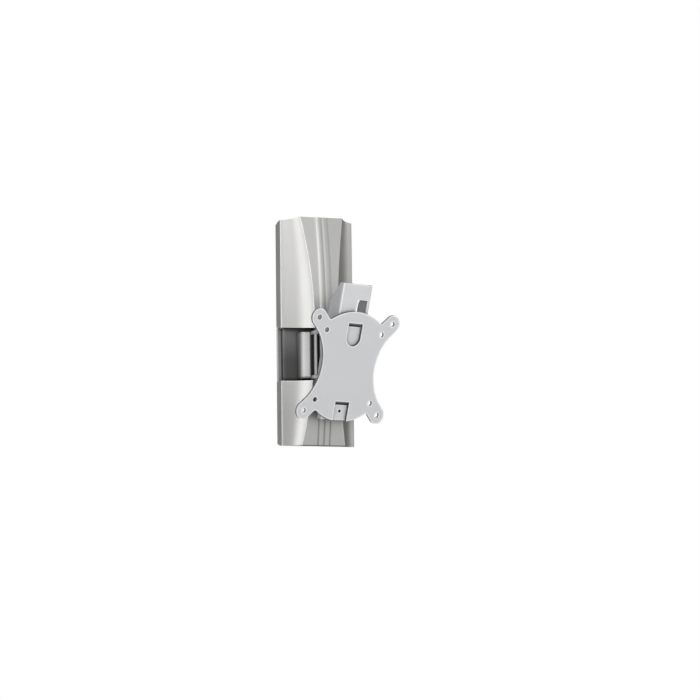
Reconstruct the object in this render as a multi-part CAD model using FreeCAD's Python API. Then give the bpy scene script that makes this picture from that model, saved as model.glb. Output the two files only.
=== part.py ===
import FreeCAD, Part
import math
import os

V = FreeCAD.Vector

# Frame: origin on the wall face at the middle of the column, +X to the right seen from the room,
# +Y into the wall, +Z up. Every depth below is a distance out from the wall face.

# Depth of the swivel axis, which the bowed covers and the pivot block follow
PIVOT_DEPTH = 31.5

# Column
COLUMN_HALF_WIDTH = 41.3
COLUMN_HALF_HEIGHT = 123.0
SIDE_DEPTH = 16.2
EDGE_ROUND = 1.3
WAIST_HALF_WIDTH = 13.1
WAIST_OVER_PIVOT = 14.7
WAIST_DEPTH = PIVOT_DEPTH + WAIST_OVER_PIVOT
WAIST_SPREAD = 0.00073
WAIST_BOW = 0.00084
COVE_SAGITTA = 0.10
REED_WIDTH = 6.7
REED_HEIGHT = 0.46
COVER_WALL = 1.5
COLUMN_SECTIONS = 7
END_DROOP = math.radians(5.0)
END_STOCK = 4.0
REAR_LIFT = 3.6
REAR_LIFT_DEPTH = 11.0

# Slot between the covers, measured at the front edge of the side walls
SLOT_TOP = 4.9
SLOT_BOTTOM = -53.0
SLOT_TOP_DROOP = math.radians(6.0)
SLOT_BOTTOM_DROOP = math.radians(3.2)

# Wall plate
PLATE_SHEET = 3.0
FLANGE_SHEET = 2.0
COVER_CLEARANCE = 0.15
FLANGE_HALF_WIDTH = COLUMN_HALF_WIDTH - COVER_WALL - COVER_CLEARANCE
FLANGE_SETBACK = 3.4
FLANGE_DEPTH = SIDE_DEPTH - FLANGE_SETBACK
SLOT_LIP_GAP = 0.3
SLOT_LIP_DEPTH = 5.3
SLOT_LIP_SHEET = 2.9
THROAT_STEP = 2.0
PLATE_HALF_HEIGHT = COLUMN_HALF_HEIGHT - REAR_LIFT - COVER_WALL - COVER_CLEARANCE
PLATE_BEND = 3.0
PLATE_INNER_BEND = PLATE_BEND - FLANGE_SHEET
WALL_HOLE_RADIUS = 3.25
WALL_HOLE_SPACING_X = 50.0
WALL_HOLE_SPACING_Z = 190.0
WALL_SLOT_OFFSET_Z = 80.0
WALL_SLOT_LENGTH = 16.0
TAB_WIDTH = 24.0
TAB_DEPTH = 14.0

# Swivel
PIVOT_HEIGHT = -26.0
SWIVEL_REST = 19.3
PIN_RADIUS = 5.0
RUNNING_FIT = 0.05
SEAT_FIT = 0.05
TURN_GAP = 0.4
BUSH_RADIUS = 12.7
BUSH_HEIGHT = 44.0
SLEEVE_RADIUS = 6.4
SWIVEL_WASHER = 0.8
WASHER_SETBACK = 0.3
AXIAL_PLAY = 0.03
LUG_SHEET = 3.0
LUG_RADIUS = BUSH_RADIUS - TURN_GAP
LUG_NECK = 10.9
LUG_INNER = BUSH_HEIGHT / 2 + SWIVEL_WASHER + AXIAL_PLAY
LUG_OUTER = LUG_INNER + LUG_SHEET
PIN_HEAD_RADIUS = 8.0
PIN_HEAD_HEIGHT = 4.5
PIN_HEAD_ROUND = 1.2
PIN_SOCKET = 6.0
PIN_SOCKET_DEPTH = 3.0
PIN_WASHER = 1.2
PIN_WASHER_RADIUS = 9.0
PIN_NUT_FLATS = 15.0
PIN_NUT_HEIGHT = 6.0
PIN_TAIL = 1.5

# Pivot block
BLOCK_FLANGE_DEPTH = 10.5
BLOCK_SIDE_GAP = 0.6
BLOCK_FLANGE_HALF_WIDTH = FLANGE_HALF_WIDTH - FLANGE_SHEET - BLOCK_SIDE_GAP
BLOCK_FLANGE_HALF_HEIGHT = 46.0
BLOCK_FLANGE_ROUND = 2.0
BLOCK_SETBACK = 3.9
BLOCK_FRONT = PIVOT_DEPTH - BLOCK_SETBACK
BLOCK_HALF_WIDTH = 22.1
BLOCK_CORNER = 4.0
BLOCK_END_STEP = 0.4
BLOCK_HALF_HEIGHT = LUG_OUTER - BLOCK_END_STEP
HEAD_ROOM = 3.0
BLOCK_SCREW_X = 29.0
BLOCK_SCREW_Z = 36.0
BLOCK_SCREW_RADIUS = 3.0
BLOCK_SCREW_HEAD = 5.6
BLOCK_SCREW_COVER = 1.5
BLOCK_SCREW_LENGTH = BLOCK_FLANGE_DEPTH - BLOCK_SCREW_COVER
BLOCK_SCREW_SOCKET = 4.0
BLOCK_SCREW_SOCKET_DEPTH = 3.0
SCREW_TIP_ROOM = 0.5
BUSH_SCREW_RADIUS = 2.0
BUSH_SCREW_HEAD = 3.6
BUSH_SCREW_SINK = 6.0
BUSH_SCREW_BITE = 4.0
BUSH_SCREW_SPACING = 24.0
BUSH_SCREW_HEAD_HEIGHT = 4.0
BUSH_SCREW_SOCKET = 3.0
BUSH_SCREW_SOCKET_DEPTH = 2.0
HEAD_GAP = 0.2

# Yoke
YOKE_SHEET = 3.0
WEB_DISTANCE = 16.0
YOKE_BEND = 3.0
TILT_DISTANCE = 32.6
YOKE_EAR_RADIUS = 7.2

# Tilt bracket, measured from the tilt axis
TILT_REST = 16.8
BRACKET_SHEET = 2.0
BRACKET_HALF_WIDTH = 20.3
BRACKET_FRONT = 9.7
BRACKET_TOP = 75.2
BRACKET_BOTTOM = 71.8
BRACKET_BEND = 2.5
EAR_REACH = 18.8
EAR_SHOULDER_REACH = 18.0
EAR_SHOULDER_TOP = 53.5
EAR_SHOULDER_BOTTOM = 22.0
EAR_END_REACH = 5.4
EAR_ROUND = 9.0
FRICTION_DISC = 1.0
YOKE_HALF_WIDTH = BRACKET_HALF_WIDTH - BRACKET_SHEET - FRICTION_DISC
TILT_BOLT_RADIUS = 3.0
TILT_HEAD_RADIUS = 5.5
TILT_HEAD_HEIGHT = 1.5
TILT_SOCKET = 4.0
TILT_SOCKET_DEPTH = 1.2
TILT_WASHER = 1.2
TILT_WASHER_RADIUS = 6.5
TILT_NUT_FLATS = 10.0
TILT_NUT_HEIGHT = 6.0
TILT_TAIL = 1.5
EAR_FACE = BRACKET_HALF_WIDTH + AXIAL_PLAY
TILT_WASHER_END = EAR_FACE + TILT_WASHER
TILT_NUT_END = TILT_WASHER_END + TILT_NUT_HEIGHT
DISC_RADIUS = 6.8
SPACER_RADIUS = 5.2

# Screen plate, measured from its own centre
SCREEN_SHEET = 2.3
SCREEN_GAP = 0.1
SCREEN_SHIFT = 3.6
SCREEN_DROP = 13.4
DISC_ARC_RADIUS = 59.5
SIDE_ARC_RADIUS = 54.9
SIDE_ARC_CENTRE = 90.6
ARM_RADIUS = 9.5
ARM_ROOT = 22.5
NOTCH_ROUND = 3.0
HOLE_LARGE = 50.0
HOLE_SMALL = 37.5
HOLE_RADIUS = 2.7
HOOK_HALF_WIDTH = 8.25
HOOK_CUT = 1.1
HOOK_GRIP_GAP = 0.15
HOOK_SET = SCREEN_SHEET + SCREEN_GAP + BRACKET_SHEET + HOOK_GRIP_GAP
HOOK_CREASE = 1.0
UPPER_HOOK_INSET = 16.0
UPPER_HOOK_ROOT = DISC_ARC_RADIUS - UPPER_HOOK_INSET
UPPER_HOOK_LENGTH = 20.1
UPPER_HOOK_TIP = UPPER_HOOK_ROOT - UPPER_HOOK_LENGTH
LOWER_HOOK_LENGTH = 18.1
LOWER_HOOK_ROOT = LOWER_HOOK_LENGTH - DISC_ARC_RADIUS
LOCK_SCREW_INSET = 10.9
LOCK_SCREW_DROP = DISC_ARC_RADIUS - LOCK_SCREW_INSET
LOCK_SCREW_RADIUS = 2.0
LOCK_SCREW_LENGTH = 6.0
LOCK_SCREW_SINK = 1.4
LOCK_SOCKET = 2.0
LOCK_SOCKET_DEPTH = 2.0
LOCK_SCREW_SEAT = 0.3
LOCK_KEY_RADIUS = LOCK_SCREW_RADIUS - LOCK_SCREW_SEAT
HOOK_SLOT = 3.4

# Hook windows of the bracket, in the screen plate's own coordinates
WINDOW_SIDE = 1.5
WINDOW_LIP = 0.4
WINDOW_SHOULDER = 4.0
WINDOW_RISE = 12.5
WINDOW_TOP = DISC_ARC_RADIUS + WINDOW_RISE
WINDOW_STEP = DISC_ARC_RADIUS - SCREEN_GAP
WINDOW_LEFT_TOP = -0.6
WINDOW_LEFT_STEP = -2.2
WINDOW_RIGHT = 12.2
LOWER_WINDOW_TOP = -20.0

# Cover screws
COVER_SCREW_RADIUS = 1.5
COVER_SCREW_HEAD = 2.9
COVER_SCREW_LENGTH = 8.0
COVER_SCREW_DEPTH = 9.0
COVER_SCREW_SINK = 1.0
COVER_SCREW_SOCKET = 2.0
COVER_SCREW_SOCKET_DEPTH = 1.3

# Working lengths of cutters and tolerances for finding edges
FAR = 400.0
OVERRUN = 1.0
NEAR = 0.1
PARALLEL = 0.99
NUT_CROWN = 0.985

PART_NODES = "parts"


def at(x, depth, z):
    return V(x, -depth, z)


def polygon_wire(points):
    return Part.makePolygon(points + [points[0]])


def prism(points, direction):
    return Part.Face(polygon_wire(points)).extrude(direction)


def box(x_low, x_high, depth_low, depth_high, z_low, z_high):
    corner = at(x_low, depth_high, z_low)
    return Part.makeBox(x_high - x_low, depth_high - depth_low, z_high - z_low, corner)


def rod(radius, start, end):
    axis = end.sub(start)
    return Part.makeCylinder(radius, axis.Length, start, axis)


def ring(outer, inner, start, end):
    return rod(outer, start, end).cut(rod(inner, start, end))


def hexagon(flats, start, end):
    axis = end.sub(start)
    reach = flats / math.sqrt(3.0)
    turn = FreeCAD.Rotation(V(0, 0, 1), axis)
    corners = []
    for k in range(6):
        angle = math.radians(60.0 * k + 30.0)
        corners.append(start.add(turn.multVec(V(reach * math.cos(angle), reach * math.sin(angle), 0))))
    body = prism(corners, axis)
    crown = rod(reach * NUT_CROWN, start, end)
    return body.common(crown)


def countersunk(radius, head_radius, head_face, tip):
    axis = tip.sub(head_face)
    length = axis.Length
    sink = head_radius - radius
    profile = [V(0, 0, 0), V(head_radius, 0, 0), V(radius, 0, sink), V(radius, 0, length), V(0, 0, length)]
    body = Part.Face(polygon_wire(profile)).revolve(V(0, 0, 0), V(0, 0, 1), 360.0)
    body.Placement = FreeCAD.Placement(head_face, FreeCAD.Rotation(V(0, 0, 1), axis))
    return body


def socket(flats, face, inward, depth):
    """Hexagonal recess for a key, sunk from a head's face."""
    reach = V(inward).normalize()
    return hexagon(flats, face, face.add(reach * depth))


def rounded_edges(shape, radius, chosen):
    edges = [edge for edge in shape.Edges if chosen(edge)]
    return shape.makeFillet(radius, edges) if edges else shape


def swivelled(shape):
    placed = shape.copy()
    placed.rotate(V(0, 0, 0), V(0, 0, 1), SWIVEL_REST)
    placed.translate(at(0, PIVOT_DEPTH, PIVOT_HEIGHT))
    return placed


def tilted(shape):
    placed = shape.copy()
    placed.rotate(V(0, 0, 0), V(1, 0, 0), TILT_REST)
    placed.translate(at(0, TILT_DISTANCE, 0))
    return swivelled(placed)


def on_screen(shape):
    placed = shape.copy()
    placed.translate(at(SCREEN_SHIFT, BRACKET_FRONT + SCREEN_GAP, -SCREEN_DROP))
    return tilted(placed)


def waist_half_width(z):
    return WAIST_HALF_WIDTH + WAIST_SPREAD * z * z


def waist_depth(z):
    return WAIST_DEPTH - WAIST_BOW * z * z


def cove_circle(edge, ridge):
    chord = ridge.sub(edge)
    sagitta = COVE_SAGITTA * chord.Length
    radius = chord.Length ** 2 / (8.0 * sagitta) + sagitta / 2.0
    middle = edge.add(ridge).multiply(0.5)
    outward = V(-chord.y, chord.x, 0).normalize()
    if outward.y < 0:
        outward = outward.negative()
    return middle.add(outward.multiply(radius - sagitta)), radius


def cove_point(centre, radius, angle):
    return V(centre.x + radius * math.cos(angle), centre.y + radius * math.sin(angle), 0)


def half_profile(z, inset):
    """Corner, cove and ridge of the right half at one height, as (x, depth) points."""
    edge = V(COLUMN_HALF_WIDTH, SIDE_DEPTH, 0)
    ridge = V(waist_half_width(z), waist_depth(z), 0)
    centre, radius = cove_circle(edge, ridge)
    radius += inset
    side_x = COLUMN_HALF_WIDTH - inset
    ridge_depth = waist_depth(z) - inset
    edge_angle = -math.acos((side_x - centre.x) / radius) if abs(side_x - centre.x) < radius else -math.pi
    ridge_angle = math.pi - math.asin((ridge_depth - centre.y) / radius)
    if ridge_angle > math.pi:
        ridge_angle -= 2.0 * math.pi
    start = cove_point(centre, radius, edge_angle)
    end = cove_point(centre, radius, ridge_angle)
    round_turn = EDGE_ROUND / radius
    start_round = cove_point(centre, radius, edge_angle - round_turn)
    middle = cove_point(centre, radius, (edge_angle - round_turn + ridge_angle) / 2.0)
    return side_x, start, start_round, middle, end


def front_panel(ridge):
    """Front face between the ridges: two crowned reeds parted by three shallow grooves."""
    groove = ridge.y - REED_HEIGHT
    grooves = [V(REED_WIDTH, groove, 0), V(0, groove, 0), V(-REED_WIDTH, groove, 0)]
    strips = [(ridge, None, grooves[0])]
    for first, last in zip(grooves, grooves[1:]):
        strips.append((first, V((first.x + last.x) / 2.0, ridge.y, 0), last))
    strips.append((grooves[-1], None, V(-ridge.x, ridge.y, 0)))
    return strips


def column_section(z, inset):
    side_x, corner, begin, middle, ridge = half_profile(z, inset)
    low = V(side_x, corner.y - EDGE_ROUND, 0)
    pull = corner.multiply(2.0).add(low).add(begin).multiply(0.25)
    right = [(V(side_x, 0, 0), None, low), (low, pull, begin), (begin, middle, ridge)]
    front = front_panel(ridge)
    left = []
    for first, through, last in reversed(right):
        mirrored = [V(-p.x, p.y, 0) if p else None for p in (last, through, first)]
        left.append(tuple(mirrored))
    back = [(V(-side_x, 0, 0), None, V(side_x, 0, 0))]
    edges = []
    for first, through, last in right + front + left + back:
        begin_point = at(first.x, first.y, z)
        end_point = at(last.x, last.y, z)
        if through is None:
            edges.append(Part.makeLine(begin_point, end_point))
        else:
            edges.append(Part.Arc(begin_point, at(through.x, through.y, z), end_point).toShape())
    return Part.Wire(edges)


def column_body(inset, half_height):
    steps = COLUMN_SECTIONS - 1
    heights = [half_height * (2.0 * k / steps - 1.0) for k in range(COLUMN_SECTIONS)]
    return Part.makeLoft([column_section(z, inset) for z in heights], True, False)


def sloped_cut(z_side, droop, upward):
    """Half space beyond a cut that drops towards the front, level with z_side at the side edge."""
    rear = z_side + SIDE_DEPTH * math.tan(droop)
    front = z_side - (FAR - SIDE_DEPTH) * math.tan(droop)
    rim = FAR if upward else -FAR
    points = [at(-FAR, 0, rear), at(-FAR, FAR, front), at(-FAR, FAR, rim), at(-FAR, 0, rim)]
    return prism(points, V(2.0 * FAR, 0, 0))


def end_lift(sign):
    """Wedge that lifts the rear edge of one column end off the corner."""
    end = sign * (COLUMN_HALF_HEIGHT + END_STOCK)
    inner = sign * (COLUMN_HALF_HEIGHT - REAR_LIFT)
    level = sign * COLUMN_HALF_HEIGHT
    points = [at(-FAR, -OVERRUN, inner), at(-FAR, REAR_LIFT_DEPTH, level), at(-FAR, REAR_LIFT_DEPTH, end),
              at(-FAR, -OVERRUN, end)]
    return prism(points, V(2.0 * FAR, 0, 0))


def column_shell():
    outer = column_body(0.0, COLUMN_HALF_HEIGHT + END_STOCK)
    inner = column_body(COVER_WALL, COLUMN_HALF_HEIGHT - COVER_WALL)
    top = COLUMN_HALF_HEIGHT - REAR_LIFT - COVER_WALL
    throat = box(-FLANGE_HALF_WIDTH - COVER_CLEARANCE, FLANGE_HALF_WIDTH + COVER_CLEARANCE,
                 -OVERRUN, FLANGE_DEPTH - THROAT_STEP, -top, top)
    lower_end = sloped_cut(-COLUMN_HALF_HEIGHT, END_DROOP, False)
    upper_end = lower_end.mirror(V(0, 0, 0), V(0, 0, 1))
    shell = outer.cut(lower_end).cut(upper_end)
    shell = shell.cut(end_lift(1)).cut(end_lift(-1))
    rear = box(-FAR, FAR, -FAR, 0, -FAR, FAR)
    cavity = inner.cut(end_lift_inner(1)).cut(end_lift_inner(-1))
    return shell.cut(cavity).cut(throat).cut(rear)


def end_lift_inner(sign):
    wedge = end_lift(sign)
    wedge.translate(V(0, 0, -sign * COVER_WALL))
    return wedge


def cover_screw_seat(sign):
    """Face and tip of the screw that closes one column end, sunk below the end wall."""
    face = at(0, COVER_SCREW_DEPTH, sign * (COLUMN_HALF_HEIGHT - COVER_SCREW_SINK))
    tip = at(0, COVER_SCREW_DEPTH, sign * (COLUMN_HALF_HEIGHT - COVER_SCREW_SINK - COVER_SCREW_LENGTH))
    return face, tip


def cover_screw_sink(sign):
    face, tip = cover_screw_seat(sign)
    outside = face.add(V(0, 0, sign * END_STOCK))
    head = COVER_SCREW_HEAD + HEAD_GAP
    return countersunk(COVER_SCREW_RADIUS + HEAD_GAP, head, face, tip).fuse(rod(head, face, outside))


def upper_cover():
    body = column_shell().common(sloped_cut(SLOT_TOP, SLOT_TOP_DROOP, True))
    return body.cut(cover_screw_sink(1))


def lower_cover():
    body = column_shell().common(sloped_cut(SLOT_BOTTOM, SLOT_BOTTOM_DROOP, False))
    return body.cut(cover_screw_sink(-1))


def wall_plate():
    half = FLANGE_HALF_WIDTH
    outer = prism([at(-half, 0, -PLATE_HALF_HEIGHT), at(half, 0, -PLATE_HALF_HEIGHT),
                   at(half, FLANGE_DEPTH, -PLATE_HALF_HEIGHT), at(-half, FLANGE_DEPTH, -PLATE_HALF_HEIGHT)],
                  V(0, 0, 2.0 * PLATE_HALF_HEIGHT))
    inner = box(-half + FLANGE_SHEET, half - FLANGE_SHEET, PLATE_SHEET, FLANGE_DEPTH + OVERRUN,
                -PLATE_HALF_HEIGHT - OVERRUN, PLATE_HALF_HEIGHT + OVERRUN)
    outer = rounded_edges(outer, PLATE_BEND, lambda e: along_z(e) and at_depth(e, 0))
    inner = rounded_edges(inner, PLATE_INNER_BEND, lambda e: along_z(e) and at_depth(e, PLATE_SHEET))
    plate = outer.cut(inner)
    plate = plate.cut(slot_mouth())
    for sign in (1, -1):
        plate = plate.fuse(slot_lip(sign))
        plate = plate.fuse(end_tab(sign)).cut(cover_screw_hole(sign))
    plate = plate.removeSplitter()
    for x in (-0.5, 0.5):
        for z in (-0.5, 0.5):
            centre = V(x * WALL_HOLE_SPACING_X, 0, z * WALL_HOLE_SPACING_Z)
            plate = plate.cut(through_wall(centre, WALL_HOLE_RADIUS))
    for z in (WALL_SLOT_OFFSET_Z, -WALL_SLOT_OFFSET_Z):
        plate = plate.cut(wall_slot(z))
    for head in block_screw_heads():
        plate = plate.cut(countersunk(BLOCK_SCREW_RADIUS + HEAD_GAP, BLOCK_SCREW_HEAD + HEAD_GAP,
                                      head, head.add(at(0, BLOCK_SCREW_LENGTH, 0))))
    return plate


def slot_lip(sign):
    """Low rim of the wall plate that shows between the covers, flush with their sides."""
    inner, outer = sorted((sign * (COLUMN_HALF_WIDTH - SLOT_LIP_SHEET), sign * COLUMN_HALF_WIDTH))
    low = SLOT_BOTTOM + SIDE_DEPTH * math.tan(SLOT_BOTTOM_DROOP) + SLOT_LIP_GAP
    high = SLOT_TOP + (SIDE_DEPTH - SLOT_LIP_DEPTH) * math.tan(SLOT_TOP_DROOP) - SLOT_LIP_GAP
    return box(inner, outer, 0, SLOT_LIP_DEPTH, low, high)


def slot_mouth():
    """Room above the low rims, where the side flanges are cut away."""
    return box(-FAR, FAR, SLOT_LIP_DEPTH, FAR, SLOT_BOTTOM, SLOT_TOP)


def along_z(edge):
    return edge.Curve.TypeId == "Part::GeomLine" and abs(edge.tangentAt(edge.FirstParameter).z) > PARALLEL


def at_depth(edge, depth):
    return abs(edge.CenterOfMass.y + depth) < NEAR


def end_tab(sign):
    outer = PLATE_HALF_HEIGHT
    inner = PLATE_HALF_HEIGHT - FLANGE_SHEET
    low, high = sorted((sign * outer, sign * inner))
    return box(-TAB_WIDTH / 2, TAB_WIDTH / 2, PLATE_SHEET / 2, TAB_DEPTH, low, high)


def cover_screw_hole(sign):
    start = at(0, COVER_SCREW_DEPTH, sign * (PLATE_HALF_HEIGHT + OVERRUN))
    end = at(0, COVER_SCREW_DEPTH, sign * (PLATE_HALF_HEIGHT - FLANGE_SHEET - OVERRUN))
    return rod(COVER_SCREW_RADIUS, start, end)


def through_wall(centre, radius):
    return rod(radius, at(centre.x, -OVERRUN, centre.z), at(centre.x, PLATE_SHEET + OVERRUN, centre.z))


def wall_slot(z):
    reach = WALL_SLOT_LENGTH / 2 - WALL_HOLE_RADIUS
    slot = box(-WALL_HOLE_RADIUS, WALL_HOLE_RADIUS, -OVERRUN, PLATE_SHEET + OVERRUN, z - reach, z + reach)
    for end in (-reach, reach):
        slot = slot.fuse(through_wall(V(0, 0, z + end), WALL_HOLE_RADIUS))
    return slot


def block_screw_heads():
    heads = []
    for x in (-BLOCK_SCREW_X, BLOCK_SCREW_X):
        for z in (-BLOCK_SCREW_Z, BLOCK_SCREW_Z):
            heads.append(V(x, 0, PIVOT_HEIGHT + z))
    return heads


def pivot_block():
    low = PIVOT_HEIGHT - BLOCK_FLANGE_HALF_HEIGHT
    high = PIVOT_HEIGHT + BLOCK_FLANGE_HALF_HEIGHT
    half = BLOCK_FLANGE_HALF_WIDTH
    flange = box(-half, half, PLATE_SHEET, BLOCK_FLANGE_DEPTH, low, high)
    flange = rounded_edges(flange, BLOCK_FLANGE_ROUND, along_z)
    jaw = box(-BLOCK_HALF_WIDTH, BLOCK_HALF_WIDTH, BLOCK_FLANGE_DEPTH - OVERRUN, BLOCK_FRONT,
              PIVOT_HEIGHT - BLOCK_HALF_HEIGHT, PIVOT_HEIGHT + BLOCK_HALF_HEIGHT)
    jaw = rounded_edges(jaw, BLOCK_CORNER, lambda e: along_z(e) and at_depth(e, BLOCK_FRONT))
    block = flange.fuse(jaw).removeSplitter()
    below = at(0, PIVOT_DEPTH, low - OVERRUN)
    above = at(0, PIVOT_DEPTH, high + OVERRUN)
    saddle = rod(BUSH_RADIUS + SEAT_FIT, below, above)
    head_room = rod(PIN_WASHER_RADIUS + HEAD_ROOM, below, above)
    block = block.cut(saddle).cut(head_room.cut(jaw))
    for head in block_screw_heads():
        end = head.add(at(0, BLOCK_SCREW_LENGTH + SCREW_TIP_ROOM, 0))
        block = block.cut(rod(BLOCK_SCREW_RADIUS, head, end))
    for z in bush_screw_heights():
        seat = PLATE_SHEET + BUSH_SCREW_SINK
        block = block.cut(rod(BUSH_SCREW_HEAD + HEAD_GAP, at(0, 0, z), at(0, seat, z)))
        block = block.cut(rod(BUSH_SCREW_RADIUS + HEAD_GAP, at(0, 0, z), at(0, PIVOT_DEPTH, z)))
    return block


def bush_screw_heights():
    return [PIVOT_HEIGHT - BUSH_SCREW_SPACING / 2, PIVOT_HEIGHT + BUSH_SCREW_SPACING / 2]


def pivot_block_screws():
    screws = []
    for head in block_screw_heads():
        flush = head.add(at(0, HEAD_GAP, 0))
        tip = head.add(at(0, BLOCK_SCREW_LENGTH, 0))
        screw = countersunk(BLOCK_SCREW_RADIUS, BLOCK_SCREW_HEAD, flush, tip)
        screws.append(screw.cut(socket(BLOCK_SCREW_SOCKET, flush, tip.sub(flush), BLOCK_SCREW_SOCKET_DEPTH)))
    return Part.makeCompound(screws)


def cover_screws():
    screws = []
    for sign in (1, -1):
        face, tip = cover_screw_seat(sign)
        screw = countersunk(COVER_SCREW_RADIUS, COVER_SCREW_HEAD, face, tip)
        screws.append(screw.cut(socket(COVER_SCREW_SOCKET, face, tip.sub(face), COVER_SCREW_SOCKET_DEPTH)))
    return Part.makeCompound(screws)


def bush_tip():
    return PIVOT_DEPTH - BUSH_RADIUS + BUSH_SCREW_BITE


def bush_screws():
    seat = PLATE_SHEET + BUSH_SCREW_SINK
    screws = []
    for z in bush_screw_heights():
        top = at(0, seat - BUSH_SCREW_HEAD_HEIGHT, z)
        head = rod(BUSH_SCREW_HEAD, top, at(0, seat, z))
        shank = rod(BUSH_SCREW_RADIUS, at(0, seat - OVERRUN, z), at(0, bush_tip(), z))
        key = socket(BUSH_SCREW_SOCKET, top, at(0, OVERRUN, 0), BUSH_SCREW_SOCKET_DEPTH)
        screws.append(head.fuse(shank).removeSplitter().cut(key))
    return Part.makeCompound(screws)


def swivel_bush():
    start = at(0, PIVOT_DEPTH, PIVOT_HEIGHT - BUSH_HEIGHT / 2)
    end = at(0, PIVOT_DEPTH, PIVOT_HEIGHT + BUSH_HEIGHT / 2)
    bush = ring(BUSH_RADIUS, SLEEVE_RADIUS, start, end)
    for z in bush_screw_heights():
        bush = bush.cut(rod(BUSH_SCREW_RADIUS, at(0, 0, z), at(0, bush_tip() + SCREW_TIP_ROOM, z)))
    return bush


def swivel_sleeve():
    start = at(0, PIVOT_DEPTH, PIVOT_HEIGHT - BUSH_HEIGHT / 2)
    end = at(0, PIVOT_DEPTH, PIVOT_HEIGHT + BUSH_HEIGHT / 2)
    return ring(SLEEVE_RADIUS, PIN_RADIUS + RUNNING_FIT, start, end)


def swivel_washers():
    low = LUG_INNER - SWIVEL_WASHER
    washers = []
    for sign in (1, -1):
        start = V(0, 0, sign * low)
        end = V(0, 0, sign * LUG_INNER)
        washers.append(ring(LUG_RADIUS - WASHER_SETBACK, PIN_RADIUS, start, end))
    return swivelled(Part.makeCompound(washers))


def swivel_pin():
    head_top = LUG_OUTER + PIN_WASHER + PIN_HEAD_HEIGHT
    tail = -LUG_OUTER - PIN_WASHER - PIN_NUT_HEIGHT - PIN_TAIL
    head = rod(PIN_HEAD_RADIUS, V(0, 0, LUG_OUTER + PIN_WASHER), V(0, 0, head_top))
    head = rounded_edges(head, PIN_HEAD_ROUND, lambda e: abs(e.CenterOfMass.z - head_top) < NEAR)
    shank = rod(PIN_RADIUS, V(0, 0, tail), V(0, 0, LUG_OUTER + PIN_WASHER + OVERRUN))
    key = socket(PIN_SOCKET, V(0, 0, head_top), V(0, 0, -1), PIN_SOCKET_DEPTH)
    return swivelled(head.fuse(shank).removeSplitter().cut(key))


def pin_washers():
    washers = []
    for sign in (1, -1):
        start = V(0, 0, sign * LUG_OUTER)
        end = V(0, 0, sign * (LUG_OUTER + PIN_WASHER))
        washers.append(ring(PIN_WASHER_RADIUS, PIN_RADIUS, start, end))
    return swivelled(Part.makeCompound(washers))


def swivel_nut():
    start = V(0, 0, -LUG_OUTER - PIN_WASHER)
    end = V(0, 0, -LUG_OUTER - PIN_WASHER - PIN_NUT_HEIGHT)
    return swivelled(hexagon(PIN_NUT_FLATS, start, end).cut(rod(PIN_RADIUS, start, end)))


def lug(sign):
    low, high = sorted((sign * LUG_INNER, sign * LUG_OUTER))
    disc = rod(LUG_RADIUS, V(0, 0, low), V(0, 0, high))
    neck = box(-LUG_NECK, LUG_NECK, 0, WEB_DISTANCE + YOKE_BEND, low, high)
    return disc.fuse(neck).cut(rod(PIN_RADIUS, V(0, 0, low - OVERRUN), V(0, 0, high + OVERRUN)))


def yoke_ear(sign):
    outer = sign * YOKE_HALF_WIDTH
    tip = TILT_DISTANCE
    points = [at(outer, WEB_DISTANCE, -LUG_OUTER), at(outer, WEB_DISTANCE + YOKE_BEND, -LUG_OUTER),
              at(outer, tip, -YOKE_EAR_RADIUS), at(outer, tip, YOKE_EAR_RADIUS),
              at(outer, WEB_DISTANCE + YOKE_BEND, LUG_OUTER), at(outer, WEB_DISTANCE, LUG_OUTER)]
    inward = V(-sign * YOKE_SHEET, 0, 0)
    plate = prism(points, inward)
    boss = rod(YOKE_EAR_RADIUS, at(outer, tip, 0), at(outer, tip, 0).add(inward))
    return plate.fuse(boss)


def yoke():
    half = YOKE_HALF_WIDTH
    body = box(-half, half, WEB_DISTANCE, WEB_DISTANCE + YOKE_SHEET, -LUG_OUTER, LUG_OUTER)
    for sign in (1, -1):
        body = body.fuse(lug(sign)).fuse(yoke_ear(sign))
    body = body.removeSplitter()
    reach = YOKE_HALF_WIDTH + OVERRUN
    hole = rod(TILT_BOLT_RADIUS, at(-reach, TILT_DISTANCE, 0), at(reach, TILT_DISTANCE, 0))
    body = body.cut(hole)
    body = rounded_edges(body, YOKE_BEND, yoke_corner)
    return swivelled(body)


def yoke_corner(edge):
    at_side = abs(abs(edge.CenterOfMass.x) - YOKE_HALF_WIDTH) < NEAR
    return along_z(edge) and at_depth(edge, WEB_DISTANCE) and at_side


def yoke_rod(radius, x_start, x_end):
    return swivelled(rod(radius, at(x_start, TILT_DISTANCE, 0), at(x_end, TILT_DISTANCE, 0)))


def yoke_ring(outer, inner, x_start, x_end):
    return swivelled(ring(outer, inner, at(x_start, TILT_DISTANCE, 0), at(x_end, TILT_DISTANCE, 0)))


def tilt_bolt():
    head_end = -EAR_FACE - TILT_HEAD_HEIGHT
    head = yoke_rod(TILT_HEAD_RADIUS, head_end, -EAR_FACE)
    shank = yoke_rod(TILT_BOLT_RADIUS, -EAR_FACE - TILT_HEAD_HEIGHT / 2, TILT_NUT_END + TILT_TAIL)
    key = swivelled(socket(TILT_SOCKET, at(head_end, TILT_DISTANCE, 0), V(1, 0, 0), TILT_SOCKET_DEPTH))
    return head.fuse(shank).removeSplitter().cut(key)


def tilt_nut():
    start = at(TILT_WASHER_END, TILT_DISTANCE, 0)
    end = at(TILT_NUT_END, TILT_DISTANCE, 0)
    return swivelled(hexagon(TILT_NUT_FLATS, start, end).cut(rod(TILT_BOLT_RADIUS, start, end)))


def tilt_washers():
    return yoke_ring(TILT_WASHER_RADIUS, TILT_BOLT_RADIUS, EAR_FACE, TILT_WASHER_END)


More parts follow.
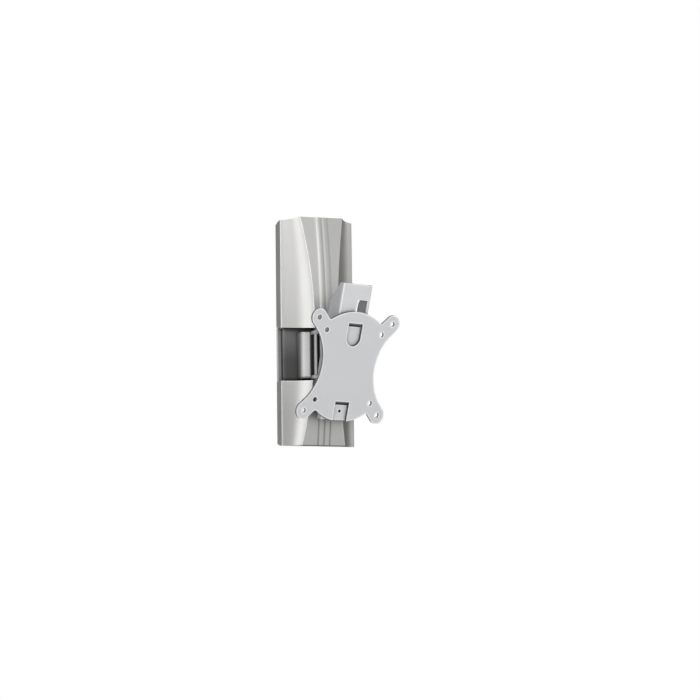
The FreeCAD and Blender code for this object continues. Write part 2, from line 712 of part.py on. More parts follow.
def friction_discs():
    inner = YOKE_HALF_WIDTH
    outer = BRACKET_HALF_WIDTH - BRACKET_SHEET - AXIAL_PLAY
    discs = [yoke_ring(DISC_RADIUS, TILT_BOLT_RADIUS, sign * inner, sign * outer) for sign in (1, -1)]
    return Part.makeCompound(discs)


def tilt_spacer():
    reach = YOKE_HALF_WIDTH - YOKE_SHEET
    return yoke_ring(SPACER_RADIUS, TILT_BOLT_RADIUS, -reach, reach)


def ear_profile(x):
    """Side view of the bracket: front face, sloped shoulders and the deep middle."""
    rear = BRACKET_FRONT - EAR_REACH
    shoulder = BRACKET_FRONT - EAR_SHOULDER_REACH
    end = BRACKET_FRONT - EAR_END_REACH
    points = [at(x, BRACKET_FRONT, BRACKET_TOP), at(x, end, BRACKET_TOP), at(x, shoulder, EAR_SHOULDER_TOP),
              at(x, rear, EAR_ROUND), at(x, rear, -EAR_ROUND), at(x, shoulder, -EAR_SHOULDER_BOTTOM),
              at(x, end, -BRACKET_BOTTOM), at(x, BRACKET_FRONT, -BRACKET_BOTTOM)]
    return points


def screen_window(points):
    """Opening through the bracket's front, drawn in the screen plate's coordinates."""
    corners = []
    for across, height in points:
        corners.append(at(across + SCREEN_SHIFT, BRACKET_FRONT + OVERRUN, height - SCREEN_DROP))
    return prism(corners, V(0, BRACKET_SHEET + 2.0 * OVERRUN, 0))


def tilt_bracket():
    half = BRACKET_HALF_WIDTH
    body = prism(ear_profile(-half), V(2.0 * half, 0, 0))
    body = rounded_edges(body, EAR_ROUND, ear_shoulder)
    body = rounded_edges(body, BRACKET_BEND, lambda e: along_z(e) and at_depth(e, BRACKET_FRONT))
    inner_face = BRACKET_FRONT - BRACKET_SHEET
    inner = box(-half + BRACKET_SHEET, half - BRACKET_SHEET, -FAR, inner_face,
                -BRACKET_BOTTOM - OVERRUN, BRACKET_TOP + OVERRUN)
    inner_bend = BRACKET_BEND - BRACKET_SHEET
    inner = rounded_edges(inner, inner_bend, lambda e: along_z(e) and at_depth(e, inner_face))
    body = body.cut(inner).cut(upper_window()).cut(lower_window()).cut(lock_key_hole())
    reach = half + OVERRUN
    body = body.cut(rod(TILT_BOLT_RADIUS + RUNNING_FIT, at(-reach, 0, 0), at(reach, 0, 0)))
    return tilted(body)


def ear_shoulder(edge):
    middle = edge.CenterOfMass
    crosswise = abs(middle.x) < NEAR and edge.Length > BRACKET_HALF_WIDTH
    return crosswise and abs(middle.z - EAR_SHOULDER_TOP) < NEAR


def upper_window():
    """Stepped opening for the upper hook, clear of the screen plate's top edge."""
    hook = HOOK_HALF_WIDTH + WINDOW_SIDE
    sill = UPPER_HOOK_ROOT - WINDOW_LIP
    points = [(-hook, sill), (WINDOW_RIGHT, sill), (WINDOW_RIGHT, WINDOW_TOP), (WINDOW_LEFT_TOP, WINDOW_TOP),
              (WINDOW_LEFT_STEP, WINDOW_STEP), (-hook, WINDOW_STEP - WINDOW_SHOULDER)]
    return screen_window(points)


def lower_window():
    hook = HOOK_HALF_WIDTH + WINDOW_SIDE
    sill = LOWER_HOOK_ROOT - WINDOW_LIP
    return screen_window([(-hook, sill), (hook, sill), (hook, LOWER_WINDOW_TOP), (-hook, LOWER_WINDOW_TOP)])


def lock_key_hole():
    """Hole in the bracket's front through which a key reaches the lock screw."""
    height = -SCREEN_DROP - LOCK_SCREW_DROP
    back = at(SCREEN_SHIFT, BRACKET_FRONT - BRACKET_SHEET - OVERRUN, height)
    front = at(SCREEN_SHIFT, BRACKET_FRONT + OVERRUN, height)
    return rod(LOCK_KEY_RADIUS, back, front)


def screen_outline():
    """Disc with concave sides and four arms, as a face in the screen plane."""
    disc = Part.Face(Part.Wire(Part.makeCircle(DISC_ARC_RADIUS, V(0, 0, 0), V(0, -1, 0))))
    for sign in (1, -1):
        centre = V(sign * SIDE_ARC_CENTRE, 0, 0)
        bite = Part.Face(Part.Wire(Part.makeCircle(SIDE_ARC_RADIUS, centre, V(0, -1, 0))))
        disc = disc.cut(bite)
    return disc


def screen_arm(x, z):
    along = V(x, 0, z).normalize()
    across = V(-along.z, 0, along.x).multiply(ARM_RADIUS)
    root = along * ARM_ROOT
    tip = V(x, 0, z)
    bar = Part.Face(polygon_wire([root.add(across), tip.add(across), tip.sub(across), root.sub(across)]))
    end = Part.Face(Part.Wire(Part.makeCircle(ARM_RADIUS, tip, V(0, -1, 0))))
    return bar.fuse(end).fuse(notch_web(x, z))


def notch_web(x, z):
    """Concave round where the disc's rim runs into the outer side of an arm."""
    along = V(x, 0, z).normalize()
    outward = V(-x, 0, z).normalize()
    side = ARM_RADIUS + NOTCH_ROUND
    reach = DISC_ARC_RADIUS + NOTCH_ROUND
    centre = along * math.sqrt(reach ** 2 - side ** 2) + outward * side
    on_rim = centre * (DISC_ARC_RADIUS / reach)
    on_arm = centre - outward * NOTCH_ROUND
    corner = along * math.sqrt(DISC_ARC_RADIUS ** 2 - ARM_RADIUS ** 2) + outward * ARM_RADIUS
    inside = corner * (ARM_ROOT / DISC_ARC_RADIUS)
    web = Part.Face(polygon_wire([inside, on_rim, centre, on_arm]))
    return web.cut(Part.Face(Part.Wire(Part.makeCircle(NOTCH_ROUND, centre, V(0, -1, 0)))))


def square(size):
    return [(x * size, z * size) for x in (-1, 1) for z in (-1, 1)]


def hook_shape(width_gap):
    """Tongue of the upper hook, straight at the root and round at the tip."""
    half = HOOK_HALF_WIDTH + width_gap
    centre = UPPER_HOOK_TIP + HOOK_HALF_WIDTH
    block = box(-half, half, -FAR, FAR, centre, UPPER_HOOK_ROOT + (HOOK_SLOT if width_gap else 0.0))
    tip = rod(half, at(0, -FAR, centre), at(0, FAR, centre))
    return block.fuse(tip)


def lower_hook_shape(width_gap):
    half = HOOK_HALF_WIDTH + width_gap
    return box(-half, half, -FAR, FAR, -FAR, LOWER_HOOK_ROOT + (HOOK_SLOT if width_gap else 0.0))


def joggle(root):
    """Step that joins the pressed tongue to the sheet."""
    half = HOOK_HALF_WIDTH
    top = root + HOOK_SLOT
    front = SCREEN_SHEET - HOOK_SET
    points = [at(-half, SCREEN_SHEET, top), at(-half, 0, top), at(-half, -HOOK_SET, root),
              at(-half, front, root - HOOK_CREASE), at(-half, front, root)]
    return prism(points, V(2.0 * half, 0, 0))


def screen_plate_blank():
    face = screen_outline()
    arms = [screen_arm(x, z) for x, z in square(HOLE_LARGE)]
    outline = face.multiFuse(arms).removeSplitter()
    return outline.extrude(at(0, SCREEN_SHEET, 0))


def vesa_plate():
    sheet = screen_plate_blank()
    pressed = sheet.copy()
    pressed.translate(at(0, -HOOK_SET, 0))
    tongues = pressed.common(hook_shape(0.0)).fuse(pressed.common(lower_hook_shape(0.0)))
    sheet = sheet.cut(hook_shape(HOOK_CUT)).cut(lower_hook_shape(HOOK_CUT))
    sheet = sheet.fuse(tongues).fuse(joggle(UPPER_HOOK_ROOT)).fuse(joggle(LOWER_HOOK_ROOT)).removeSplitter()
    for size in (HOLE_LARGE, HOLE_SMALL):
        for x, z in square(size):
            sheet = sheet.cut(rod(HOLE_RADIUS, at(x, -OVERRUN, z), at(x, SCREEN_SHEET + OVERRUN, z)))
    lock = rod(LOCK_SCREW_RADIUS, at(0, -FAR, -LOCK_SCREW_DROP), at(0, FAR, -LOCK_SCREW_DROP))
    return on_screen(sheet.cut(lock))


def lock_screw():
    front = at(0, SCREEN_SHEET - HOOK_SET - LOCK_SCREW_SINK, -LOCK_SCREW_DROP)
    back = front.sub(at(0, LOCK_SCREW_LENGTH, 0))
    body = rod(LOCK_SCREW_RADIUS, back, front)
    return on_screen(body.cut(socket(LOCK_SOCKET, front, back.sub(front), LOCK_SOCKET_DEPTH)))


NODES = {
    "wall_plate": wall_plate,
    "upper_cover": upper_cover,
    "lower_cover": lower_cover,
    "cover_screws": cover_screws,
    "pivot_block": pivot_block,
    "pivot_block_screws": pivot_block_screws,
    "swivel_bush": swivel_bush,
    "swivel_sleeve": swivel_sleeve,
    "bush_screws": bush_screws,
    "swivel_pin": swivel_pin,
    "swivel_washers": swivel_washers,
    "pin_washers": pin_washers,
    "swivel_nut": swivel_nut,
    "yoke": yoke,
    "tilt_bolt": tilt_bolt,
    "tilt_nut": tilt_nut,
    "tilt_washers": tilt_washers,
    "friction_discs": friction_discs,
    "tilt_spacer": tilt_spacer,
    "tilt_bracket": tilt_bracket,
    "vesa_plate": vesa_plate,
    "lock_screw": lock_screw,
}

os.makedirs(PART_NODES, exist_ok=True)
for name, make in NODES.items():
    shape = make()
    shape.exportStep(os.path.join(PART_NODES, name + ".step"))
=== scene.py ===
import math

import bpy
from mathutils import Matrix, Vector

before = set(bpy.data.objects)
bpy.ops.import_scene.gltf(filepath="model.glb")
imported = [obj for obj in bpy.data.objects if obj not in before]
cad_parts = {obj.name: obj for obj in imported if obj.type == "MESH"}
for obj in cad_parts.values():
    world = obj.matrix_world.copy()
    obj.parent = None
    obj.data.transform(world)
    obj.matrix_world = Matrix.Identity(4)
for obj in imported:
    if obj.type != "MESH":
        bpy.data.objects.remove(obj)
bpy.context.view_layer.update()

# Camera, solved from the hole squares of the screen plate
CAMERA_AZIMUTH = math.radians(-20.0)
CAMERA_ELEVATION = math.radians(-7.2)
CAMERA_ROLL = math.radians(0.73)
CAMERA_DISTANCE = 2.6
SENSOR_WIDTH = 36.0
IMAGE_SIDE = 700.0
FOCAL_PIXELS = 2384.2
ORIGIN_RIGHT = 312.4 - IMAGE_SIDE / 2
ORIGIN_DOWN = 335.2 - IMAGE_SIDE / 2
CLIP_END = 50.0

# Stage
FLOOR_HEIGHT = -0.75
FLOOR_SIZE = 5.0
FLOOR_COLOUR = (0.85, 0.85, 0.85)
FLOOR_ROUGHNESS = 0.8
CARD_COLOUR = (0.03, 0.03, 0.03)
WHITE = (1.0, 1.0, 1.0, 1.0)
SEEN_STRENGTH = 1.0

# Studio glow: azimuth, elevation, sharpness and strength of each soft lobe
AMBIENT = 0.07
LOBES = [
    (-6.0, -15.0, 6.0, 3.3),
    (-27.0, 12.0, 20.0, 2.3),
    (0.0, 85.0, 4.0, 0.8),
    (160.0, 20.0, 4.0, 1.6),
]
# Soft boxes, for reflections only: azimuth, elevation, distance, width, height and power
BOXES = {
    "left_box": (-95.0, 6.0, 2.2, 1.4, 1.6, 10.5),
    "right_box": (100.0, 30.0, 0.95, 0.35, 0.3, 1.3),
    "brow_box": (-52.0, 30.0, 2.2, 1.4, 0.8, 12.0),
    "front_strip": (-3.0, 26.0, 2.2, 0.25, 0.7, 2.4),
}
# Dark cards that give the silver its form: azimuth, elevation, distance, width and height
CARDS = {
    "rear_card": (149.0, 0.0, 1.0, 3.6, 2.4),
    "low_card": (-48.0, -17.0, 1.0, 1.0, 0.7),
}

# Directions at rest: across the screen plate's sheet and across the bracket's ears
PLATE_AXIS = (0.316408, -0.903519, -0.289032)
EAR_AXIS = (-0.945519, -0.325568, 0.0)
# Directions at rest: to the front of the column and to the painted highlight strip of the barrel
FRONT_AXIS = (0.0, -1.0, 0.0)
HIGHLIGHT_STRIP_AXIS = (-0.8, -0.6, 0.0)

# Painted shade lines in the grooves between the reeds of the covers: spacing, reach to either
# side, and width
GROOVES = (0.0067, 0.0072, 0.0016)
UPPER_GROOVE_SHADE_GAIN = 0.7
LOWER_GROOVE_SHADE_GAIN = 0.5
# Painted shade on the right half of the upper front: gain, and where it starts and is full
UPPER_SIDE_SHADE = (0.86, -0.0046, -0.0024)
# Painted highlight on the left reed of the upper front: gain, where it rises and where it falls
# away
UPPER_REED_HIGHLIGHT = (1.12, (-0.0090, -0.0078), (-0.0022, -0.0052))
# Painted shadow bands, at the foot of the lower cover and under the cover edges in the slot:
# gain, and the darkest and the clear height of each
FOOT_SHADOW = (0.35, [(-0.1237, -0.1226)])
SLOT_SHADOWS = (0.01, [(0.0070, 0.0005), (-0.0508, -0.0478)])
# Painted shade on the deep side of the block, darker below: depths and heights between which it
# changes, gain below and above
BLOCK_BACK_SHADE = ((-0.0255, -0.014), (-0.0290, 0.0015), 0.083, 0.215)
# Painted shade (jaw sides, wall plate front) and painted highlight (bush strip) on faces turned a
# given way: axis, how far they face toward it where the painting starts and is full, and gain
JAW_SHADE = (FRONT_AXIS, 0.99, 0.6, 0.4)
FLANGE_SHADE = (FRONT_AXIS, 0.9, 0.99, 0.3)
# Painted highlight strip along the black bush
BARREL_HIGHLIGHT = (HIGHLIGHT_STRIP_AXIS, 0.986, 0.997, 110.0)

# Shader detail
BEVEL_SAMPLES = 6
SHADE_SAMPLES = 8
SPECULAR = 0.5
EDGE_FULL = 0.95
EDGE_NONE = 0.998
SHADE_NONE = 0.95
BEND_NONE = 0.10
BEND_FULL = 0.40
FRONT_NONE = 0.85
FRONT_FULL = 0.92
CUT_FULL = 0.55
CUT_NONE = 0.95

# Noise: scale along each axis, and detail
UPRIGHT = (1300.0, 1300.0, 14.0)
EVEN = (700.0, 700.0, 700.0)
METAL_CLOUDS = (24.0, 24.0, 24.0)
PAINT_CLOUDS = (30.0, 30.0, 30.0)
PAINT_TOOTH = (1600.0, 1600.0, 1600.0)
STREAK_DETAIL = 3.0
SOFT_DETAIL = 2.0

# Finish: bump strength and depth, spread of gloss and of tone, and gain of the painted shade in
# deep recesses
METAL_BUMP = (0.22, 0.0002)
METAL_GLOSS_SPREAD = 0.15
METAL_RECESS_SHADE_GAIN = 0.06
PAINT_BUMP = (0.12, 0.0001)
PAINT_GLOSS_SPREAD = 0.1
PAINT_TONE_SPREAD = 0.03
PAINT_RECESS_SHADE_GAIN = 0.08

# Colours
SILVER = (0.50, 0.497, 0.485)
# Painted shade on faces across the sheet: cut edges and hole walls, and the bracket's ears
PLATE_CUT_SHADE = (0.17, 0.17, 0.175)
BRACKET_CUT_SHADE = (0.45, 0.455, 0.47)


def node_tree(material):
    material.use_nodes = True
    tree = material.node_tree
    tree.nodes.clear()
    return tree


def add(tree, kind, **values):
    node = tree.nodes.new(kind)
    for key, value in values.items():
        setattr(node, key, value)
    return node


def link(tree, source, output, target, socket):
    tree.links.new(source.outputs[output], target.inputs[socket])


def colour4(colour, gain=1.0):
    return tuple(min(1.0, c * gain) for c in colour) + (1.0,)


class Look:
    """Node material built up from one shader and shared object coordinates."""

    def __init__(self, name, metallic, specular=SPECULAR):
        self.material = bpy.data.materials.new(name)
        self.tree = node_tree(self.material)
        self.out = add(self.tree, "ShaderNodeOutputMaterial")
        self.shader = add(self.tree, "ShaderNodeBsdfPrincipled")
        self.shader.inputs["Metallic"].default_value = metallic
        self.shader.inputs["Specular IOR Level"].default_value = specular
        link(self.tree, self.shader, "BSDF", self.out, "Surface")
        self.place = add(self.tree, "ShaderNodeTexCoord")

    def wire(self, source, node, socket):
        """Link from a pair of node and output name."""
        link(self.tree, source[0], source[1], node, socket)

    def noise(self, scale, detail):
        stretch = add(self.tree, "ShaderNodeMapping")
        stretch.inputs["Scale"].default_value = scale
        link(self.tree, self.place, "Object", stretch, "Vector")
        noise = add(self.tree, "ShaderNodeTexNoise")
        noise.inputs["Scale"].default_value = 1.0
        noise.inputs["Detail"].default_value = detail
        link(self.tree, stretch, "Vector", noise, "Vector")
        return noise, "Fac"

    def ramp(self, source, low, high, to_low, to_high):
        node = add(self.tree, "ShaderNodeMapRange")
        node.inputs["From Min"].default_value = low
        node.inputs["From Max"].default_value = high
        node.inputs["To Min"].default_value = to_low
        node.inputs["To Max"].default_value = to_high
        self.wire(source, node, "Value")
        return node, "Result"

    def mix(self, factor, first, second):
        """Blend of two colours; each is a plain colour or a node's output."""
        node = add(self.tree, "ShaderNodeMixRGB", blend_type="MIX")
        self.wire(factor, node, "Fac")
        for socket, value in (("Color1", first), ("Color2", second)):
            if isinstance(value[0], bpy.types.Node):
                self.wire(value, node, socket)
            else:
                node.inputs[socket].default_value = value
        return node, "Color"

    def times(self, first, second):
        node = add(self.tree, "ShaderNodeMath", operation="MULTIPLY")
        self.wire(first, node, 0)
        self.wire(second, node, 1)
        return node, "Value"

    def position(self):
        """Node that gives the place on the surface as X, Y and Z."""
        parts = add(self.tree, "ShaderNodeSeparateXYZ")
        link(self.tree, self.place, "Object", parts, "Vector")
        return parts

    def toward(self, axis):
        """How far the surface at rest faces toward an axis."""
        dot = add(self.tree, "ShaderNodeVectorMath", operation="DOT_PRODUCT")
        link(self.tree, self.place, "Normal", dot, 0)
        dot.inputs[1].default_value = axis
        return dot, "Value"

    def facing(self, axis):
        """How far the surface at rest faces along an axis, either way."""
        size = add(self.tree, "ShaderNodeMath", operation="ABSOLUTE")
        self.wire(self.toward(axis), size, 0)
        return size, "Value"

    def front(self):
        """Factor that is one on faces that look to the front."""
        return self.ramp(self.facing(FRONT_AXIS), FRONT_NONE, FRONT_FULL, 0.0, 1.0)

    def bend(self, first, second):
        """Factor that is one half way round a bend between two square faces."""
        product = self.times(self.facing(first), self.facing(second))
        return self.ramp(product, BEND_NONE, BEND_FULL, 0.0, 1.0)

    def groove_shade(self, spacing, reach, width):
        """Factor for painted shade, one along the upright grooves between the reeds of the front.
        """
        parts = self.position()
        nearest = add(self.tree, "ShaderNodeMath", operation="PINGPONG")
        link(self.tree, parts, "X", nearest, 0)
        nearest.inputs[1].default_value = spacing / 2.0
        line = self.ramp((nearest, "Value"), 0.0, width, 1.0, 0.0)
        side = add(self.tree, "ShaderNodeMath", operation="ABSOLUTE")
        link(self.tree, parts, "X", side, 0)
        inside = self.ramp((side, "Value"), reach, reach + width, 1.0, 0.0)
        return self.times(self.times(line, inside), self.front())

    def across(self, start, full):
        """Factor that goes from nought to one between two places across the front."""
        along = self.ramp((self.position(), "X"), start, full, 0.0, 1.0)
        return self.times(along, self.front())

    def depth(self, near, far):
        """Factor that goes from nought at the near depth to one at the far depth."""
        return self.ramp((self.position(), "Y"), near, far, 0.0, 1.0)

    def level(self, dark, clear):
        """Factor that goes from one at the dark height to nought at the clear height."""
        return self.ramp((self.position(), "Z"), dark, clear, 1.0, 0.0)

    def rounded(self, radius):
        node = add(self.tree, "ShaderNodeBevel")
        node.samples = BEVEL_SAMPLES
        node.inputs["Radius"].default_value = radius
        return node, "Normal"

    def edge(self, radius):
        """Factor that is one on edges, where a highlight is painted, and nought on open faces."""
        dot = add(self.tree, "ShaderNodeVectorMath", operation="DOT_PRODUCT")
        self.wire(self.rounded(radius), dot, 0)
        link(self.tree, add(self.tree, "ShaderNodeNewGeometry"), "Normal", dot, 1)
        return self.ramp((dot, "Value"), EDGE_FULL, EDGE_NONE, 1.0, 0.0)

    def recess_shade(self, distance, full, amount):
        """Factor for painted shade, nought in the open and rising in recesses."""
        node = add(self.tree, "ShaderNodeAmbientOcclusion")
        node.samples = SHADE_SAMPLES
        node.inputs["Distance"].default_value = distance
        return self.ramp((node, "AO"), full, SHADE_NONE, amount, 0.0)

    def grain(self, factor, colour, gain, spread):
        """Colour that wavers about a gain with a noise."""
        return self.mix(factor, colour4(colour, gain * (1.0 - spread)),
                        colour4(colour, gain * (1.0 + spread)))

    def colour(self, source):
        self.wire(source, self.shader, "Base Color")

    def roughness(self, clouds, middle, spread):
        gloss = self.ramp(clouds, 0.0, 1.0, middle * (1.0 - spread), middle * (1.0 + spread))
        self.wire(gloss, self.shader, "Roughness")

    def bump(self, source, strength, depth, rounded):
        node = add(self.tree, "ShaderNodeBump")
        node.inputs["Strength"].default_value = strength
        node.inputs["Distance"].default_value = depth
        self.wire(source, node, "Height")
        self.wire(rounded, node, "Normal")
        link(self.tree, node, "Normal", self.shader, "Normal")


def brushed_metal(name, colour, metallic, roughness, grain, spread,
                  edge_radius, edge_highlight_width, edge_highlight_gain, recess, deep, recess_shade, specular=SPECULAR,
                  painted_side_shade=None, groove_shade=None, painted_reed_highlight=None, painted_light=None, back_shade=None, shadow_bands=None):
    """Metal with fine grain and cloudy gloss, a painted highlight on its edges and painted shade
    in its recesses.
    """
    look = Look(name, metallic, specular)
    streaks = look.noise(grain, STREAK_DETAIL)
    clouds = look.noise(METAL_CLOUDS, SOFT_DETAIL)
    tone = look.grain(streaks, colour, 1.0, spread)
    # Painted highlight along the edges.
    tone = look.mix(look.edge(edge_highlight_width), tone, colour4(colour, edge_highlight_gain))
    # Painted shade over part of the front.
    if painted_side_shade:
        gain, start, full = painted_side_shade
        tone = look.mix(look.across(start, full), tone, look.grain(streaks, colour, gain, spread))
    # Painted shade along the grooves.
    if groove_shade:
        gain, lines = groove_shade
        tone = look.mix(look.groove_shade(*lines), tone, colour4(colour, gain))
    # Painted highlight along one reed.
    if painted_reed_highlight:
        gain, rise, fall = painted_reed_highlight
        reed = look.times(look.across(*rise), look.across(*fall))
        tone = look.mix(reed, tone, colour4(colour, gain))
    # Painted shade, or with a gain above one a painted highlight, on faces turned a given way.
    if painted_light:
        axis, start, full, gain = painted_light
        turned = look.ramp(look.toward(axis), start, full, 0.0, 1.0)
        tone = look.mix(turned, tone, colour4(colour, gain))
    # Painted shade on the deep side of the part, darker below.
    if back_shade:
        depths, heights, low, high = back_shade
        back_shade_tone = look.mix(look.level(*heights), colour4(colour, high), colour4(colour, low))
        tone = look.mix(look.depth(*depths), tone, back_shade_tone)
    # Painted shadow bands at fixed heights.
    if shadow_bands:
        gain, heights = shadow_bands
        for dark, clear in heights:
            tone = look.mix(look.level(dark, clear), tone, colour4(colour, gain))
    # Painted shade in recesses.
    shade = look.recess_shade(recess, deep, recess_shade)
    look.colour(look.mix(shade, tone, colour4(colour, METAL_RECESS_SHADE_GAIN)))
    look.roughness(clouds, roughness, METAL_GLOSS_SPREAD)
    look.bump(streaks, *METAL_BUMP, look.rounded(edge_radius))
    return look.material


def paint(name, colour, roughness, edge_radius, edge_highlight_width, edge_highlight_gain, recess, deep, recess_shade,
          cut_axis, cut_shade_colour, bends=None):
    """Powder paint with a fine tooth, a painted highlight on its edges, painted shade on its cut
    faces and painted shade in its recesses.
    """
    look = Look(name, 0.0)
    tooth = look.noise(PAINT_TOOTH, SOFT_DETAIL)
    clouds = look.noise(PAINT_CLOUDS, SOFT_DETAIL)
    tone = look.grain(clouds, colour, 1.0, PAINT_TONE_SPREAD)
    # Painted highlight along the edges.
    tone = look.mix(look.edge(edge_highlight_width), tone, colour4(colour, edge_highlight_gain))
    # Painted highlight along the bends.
    if bends:
        tone = look.mix(look.bend(*bends), tone, colour4(colour, edge_highlight_gain))
    # Painted shade on faces that run across the sheet.
    cut_shade = look.ramp(look.facing(cut_axis), CUT_FULL, CUT_NONE, 1.0, 0.0)
    tone = look.mix(cut_shade, tone, colour4(cut_shade_colour))
    # Painted shade in recesses.
    shade = look.recess_shade(recess, deep, recess_shade)
    look.colour(look.mix(shade, tone, colour4(colour, PAINT_RECESS_SHADE_GAIN)))
    look.roughness(clouds, roughness, PAINT_GLOSS_SPREAD)
    look.bump(tooth, *PAINT_BUMP, look.rounded(edge_radius))
    return look.material


# Values that several looks share
COVER = dict(colour=SILVER, metallic=0.66, roughness=0.35, grain=UPRIGHT, spread=0.05,
             edge_radius=0.0006, edge_highlight_width=0.0012, edge_highlight_gain=1.7,
             recess=0.028, deep=0.35, recess_shade=0.7)
SHEET_EDGE = dict(edge_radius=0.0004, edge_highlight_width=0.0008)
SMALL_EDGE = dict(edge_radius=0.0002, edge_highlight_width=0.0004)
SMALL_RECESS = dict(recess=0.004, deep=0.25, recess_shade=0.6)

LOOKS = {
    "upper_cover": brushed_metal(
        "satin_upper", **COVER, painted_side_shade=UPPER_SIDE_SHADE, groove_shade=(UPPER_GROOVE_SHADE_GAIN, GROOVES),
        painted_reed_highlight=UPPER_REED_HIGHLIGHT),
    "lower_cover": brushed_metal(
        "satin_lower", **COVER, groove_shade=(LOWER_GROOVE_SHADE_GAIN, GROOVES), shadow_bands=FOOT_SHADOW),
    "block": brushed_metal(
        "cast_block", (0.96, 0.96, 0.955), metallic=0.05, roughness=0.4, grain=EVEN,
        spread=0.03, edge_radius=0.0006, edge_highlight_width=0.0010, edge_highlight_gain=1.04,
        recess=0.002, deep=0.25, recess_shade=0.6,
        painted_light=JAW_SHADE, back_shade=BLOCK_BACK_SHADE, shadow_bands=SLOT_SHADOWS),
    "wall_plate": brushed_metal(
        "wall_sheet", (0.88, 0.88, 0.885), metallic=0.3, roughness=0.42, grain=UPRIGHT,
        spread=0.05, **SHEET_EDGE, edge_highlight_gain=1.25, recess=0.008, deep=0.25, recess_shade=0.6,
        painted_light=FLANGE_SHADE),
    "yoke": brushed_metal(
        "yoke_sheet", (0.42, 0.42, 0.43), metallic=0.3, roughness=0.42, grain=EVEN,
        spread=0.05, **SHEET_EDGE, edge_highlight_gain=1.4, recess=0.02, deep=0.25, recess_shade=0.7),
    "screw": brushed_metal(
        "screw_steel", (0.62, 0.62, 0.63), metallic=0.7, roughness=0.28, grain=EVEN,
        spread=0.05, **SMALL_EDGE, edge_highlight_gain=1.2, **SMALL_RECESS),
    "black": brushed_metal(
        "black_screw", (0.012, 0.012, 0.012), metallic=0.0, roughness=0.35, grain=EVEN,
        spread=0.05, **SMALL_EDGE, edge_highlight_gain=2.0, **SMALL_RECESS, specular=0.15),
    "bush": brushed_metal(
        "black_bush", (0.006, 0.006, 0.006), metallic=0.0, roughness=0.28, grain=EVEN,
        spread=0.08, edge_radius=0.0004, edge_highlight_width=0.0006, edge_highlight_gain=1.0,
        recess=0.01, deep=0.25, recess_shade=0.6, specular=0.06, painted_light=BARREL_HIGHLIGHT),
    "white": brushed_metal(
        "bearing_white", (0.72, 0.72, 0.70), metallic=0.0, roughness=0.5, grain=EVEN,
        spread=0.03, **SMALL_EDGE, edge_highlight_gain=1.1, **SMALL_RECESS),
    "plate": paint(
        "plate_paint", (0.69, 0.695, 0.715), roughness=0.45,
        edge_radius=0.0008, edge_highlight_width=0.0028, edge_highlight_gain=1.5,
        recess=0.0042, deep=0.5, recess_shade=0.95, cut_axis=PLATE_AXIS, cut_shade_colour=PLATE_CUT_SHADE),
    "bracket": paint(
        "bracket_paint", (0.73, 0.735, 0.755), roughness=0.45,
        edge_radius=0.0010, edge_highlight_width=0.0024, edge_highlight_gain=1.42,
        recess=0.03, deep=0.5, recess_shade=0.9, cut_axis=PLATE_AXIS, cut_shade_colour=BRACKET_CUT_SHADE,
        bends=(PLATE_AXIS, EAR_AXIS)),
}
# Look of each node; the nodes that aren't named are bolts, nuts, pins and other steel fittings
LOOK_OF = {
    "upper_cover": "upper_cover", "lower_cover": "lower_cover",
    "pivot_block": "block", "wall_plate": "wall_plate", "yoke": "yoke",
    "swivel_bush": "bush", "lock_screw": "black",
    "swivel_sleeve": "white", "swivel_washers": "white", "friction_discs": "white",
    "vesa_plate": "plate", "tilt_bracket": "bracket",
}
for name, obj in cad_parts.items():
    for slot in obj.material_slots:
        slot.material = LOOKS[LOOK_OF.get(name, "screw")]


def image_axes():
    """Directions into the image, to its right and down it."""
    forward = Vector((-math.sin(CAMERA_AZIMUTH) * math.cos(CAMERA_ELEVATION),
                      math.cos(CAMERA_AZIMUTH) * math.cos(CAMERA_ELEVATION),
                      -math.sin(CAMERA_ELEVATION)))
    level = Vector((math.cos(CAMERA_AZIMUTH), math.sin(CAMERA_AZIMUTH), 0.0))
    drop = forward.cross(level)
    right = level * math.cos(CAMERA_ROLL) + drop * math.sin(CAMERA_ROLL)
    down = drop * math.cos(CAMERA_ROLL) - level * math.sin(CAMERA_ROLL)
    return forward, right, down


def make_camera():
    forward, right, down = image_axes()
    per_pixel = CAMERA_DISTANCE / FOCAL_PIXELS
    place = -(forward * CAMERA_DISTANCE + right * (ORIGIN_RIGHT * per_pixel)
              + down * (ORIGIN_DOWN * per_pixel))
    data = bpy.data.cameras.new("photo_view")
    data.sensor_width = SENSOR_WIDTH
    data.lens = SENSOR_WIDTH * FOCAL_PIXELS / IMAGE_SIDE
    data.clip_end = CLIP_END
    camera = bpy.data.objects.new("photo_view", data)
    bpy.context.collection.objects.link(camera)
    turn = Matrix((right, -down, -forward)).transposed()
    camera.matrix_world = Matrix.Translation(place) @ turn.to_4x4()
    bpy.context.scene.camera = camera


def heading(azimuth, elevation):
    """Direction from the object, with azimuth nought to the front."""
    a = math.radians(azimuth)
    e = math.radians(elevation)
    return Vector((math.sin(a) * math.cos(e), -math.cos(a) * math.cos(e), math.sin(e)))


def softbox(name, azimuth, elevation, distance, width, height, power):
    """Soft box that shows in reflections only."""
    data = bpy.data.lights.new(name, "AREA")
    data.shape = "RECTANGLE"
    data.size = width
    data.size_y = height
    data.energy = power
    lamp = bpy.data.objects.new(name, data)
    bpy.context.collection.objects.link(lamp)
    place = heading(azimuth, elevation) * distance
    lamp.location = place
    lamp.visible_diffuse = False
    lamp.rotation_euler = (-place).to_track_quat("-Z", "Y").to_euler()


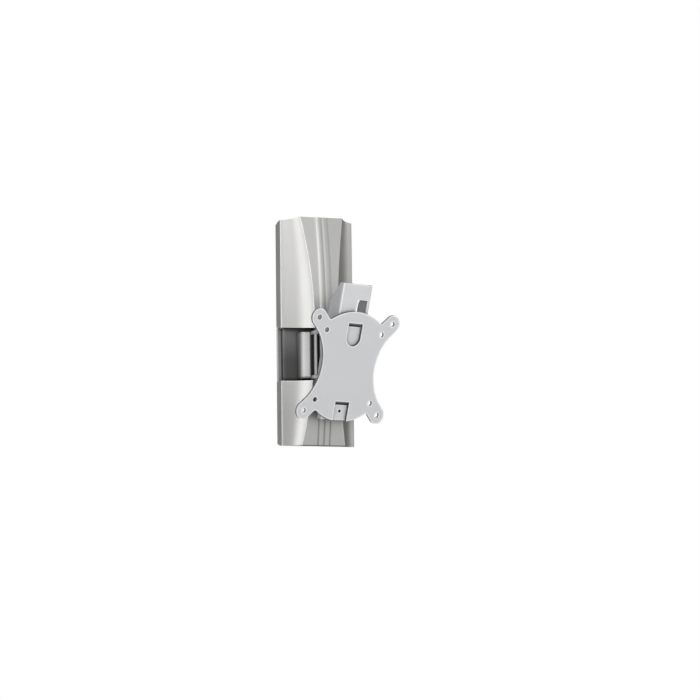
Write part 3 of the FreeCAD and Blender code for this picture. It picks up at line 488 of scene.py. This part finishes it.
def card(name, azimuth, elevation, distance, width, height):
    """Dark card beside the object that shows in reflections only."""
    bpy.ops.mesh.primitive_plane_add(size=1.0)
    sheet = bpy.context.object
    sheet.name = name
    place = heading(azimuth, elevation) * distance
    sheet.location = place
    sheet.rotation_euler = place.to_track_quat("-Z", "Y").to_euler()
    sheet.scale = (width, height, 1.0)
    sheet.visible_camera = False
    sheet.visible_diffuse = False
    sheet.visible_shadow = False
    material = bpy.data.materials.new(name)
    tree = node_tree(material)
    out = add(tree, "ShaderNodeOutputMaterial")
    shader = add(tree, "ShaderNodeBsdfDiffuse")
    shader.inputs["Color"].default_value = colour4(CARD_COLOUR)
    link(tree, shader, "BSDF", out, "Surface")
    sheet.data.materials.append(material)


def make_world():
    """White to the eye and in reflections, with a soft studio glow that lights the object."""
    world = bpy.data.worlds.new("studio")
    bpy.context.scene.world = world
    tree = node_tree(world)
    out = add(tree, "ShaderNodeOutputWorld")
    path = add(tree, "ShaderNodeLightPath")
    seen = add(tree, "ShaderNodeBackground")
    seen.inputs["Color"].default_value = WHITE
    seen.inputs["Strength"].default_value = SEEN_STRENGTH
    place = add(tree, "ShaderNodeTexCoord")
    total = None
    for azimuth, elevation, sharpness, strength in LOBES:
        facing = add(tree, "ShaderNodeVectorMath", operation="DOT_PRODUCT")
        link(tree, place, "Generated", facing, 0)
        facing.inputs[1].default_value = heading(azimuth, elevation)
        front = add(tree, "ShaderNodeMath", operation="MAXIMUM")
        link(tree, facing, "Value", front, 0)
        front.inputs[1].default_value = 0.0
        spread = add(tree, "ShaderNodeMath", operation="POWER")
        link(tree, front, "Value", spread, 0)
        spread.inputs[1].default_value = sharpness
        glow = add(tree, "ShaderNodeMath", operation="MULTIPLY_ADD")
        link(tree, spread, "Value", glow, 0)
        glow.inputs[1].default_value = strength
        if total is None:
            glow.inputs[2].default_value = AMBIENT
        else:
            link(tree, total, "Value", glow, 2)
        total = glow
    room = add(tree, "ShaderNodeBackground")
    room.inputs["Color"].default_value = WHITE
    link(tree, total, "Value", room, "Strength")
    gloss = add(tree, "ShaderNodeMath", operation="MAXIMUM")
    link(tree, path, "Is Camera Ray", gloss, 0)
    link(tree, path, "Is Glossy Ray", gloss, 1)
    direct = add(tree, "ShaderNodeMath", operation="MAXIMUM")
    link(tree, gloss, "Value", direct, 0)
    link(tree, path, "Is Transmission Ray", direct, 1)
    mix = add(tree, "ShaderNodeMixShader")
    link(tree, direct, "Value", mix, "Fac")
    link(tree, room, "Background", mix, 1)
    link(tree, seen, "Background", mix, 2)
    link(tree, mix, "Shader", out, "Surface")


def make_floor():
    bpy.ops.mesh.primitive_plane_add(size=FLOOR_SIZE, location=(0, 0, FLOOR_HEIGHT))
    floor = bpy.context.object
    floor.name = "floor"
    material = bpy.data.materials.new("pale_floor")
    tree = node_tree(material)
    out = add(tree, "ShaderNodeOutputMaterial")
    shader = add(tree, "ShaderNodeBsdfPrincipled")
    shader.inputs["Base Color"].default_value = colour4(FLOOR_COLOUR)
    shader.inputs["Roughness"].default_value = FLOOR_ROUGHNESS
    link(tree, shader, "BSDF", out, "Surface")
    floor.data.materials.append(material)


make_camera()
make_world()
make_floor()
for box, values in BOXES.items():
    softbox(box, *values)
for sheet, values in CARDS.items():
    card(sheet, *values)
bpy.context.scene.view_settings.view_transform = "Standard"
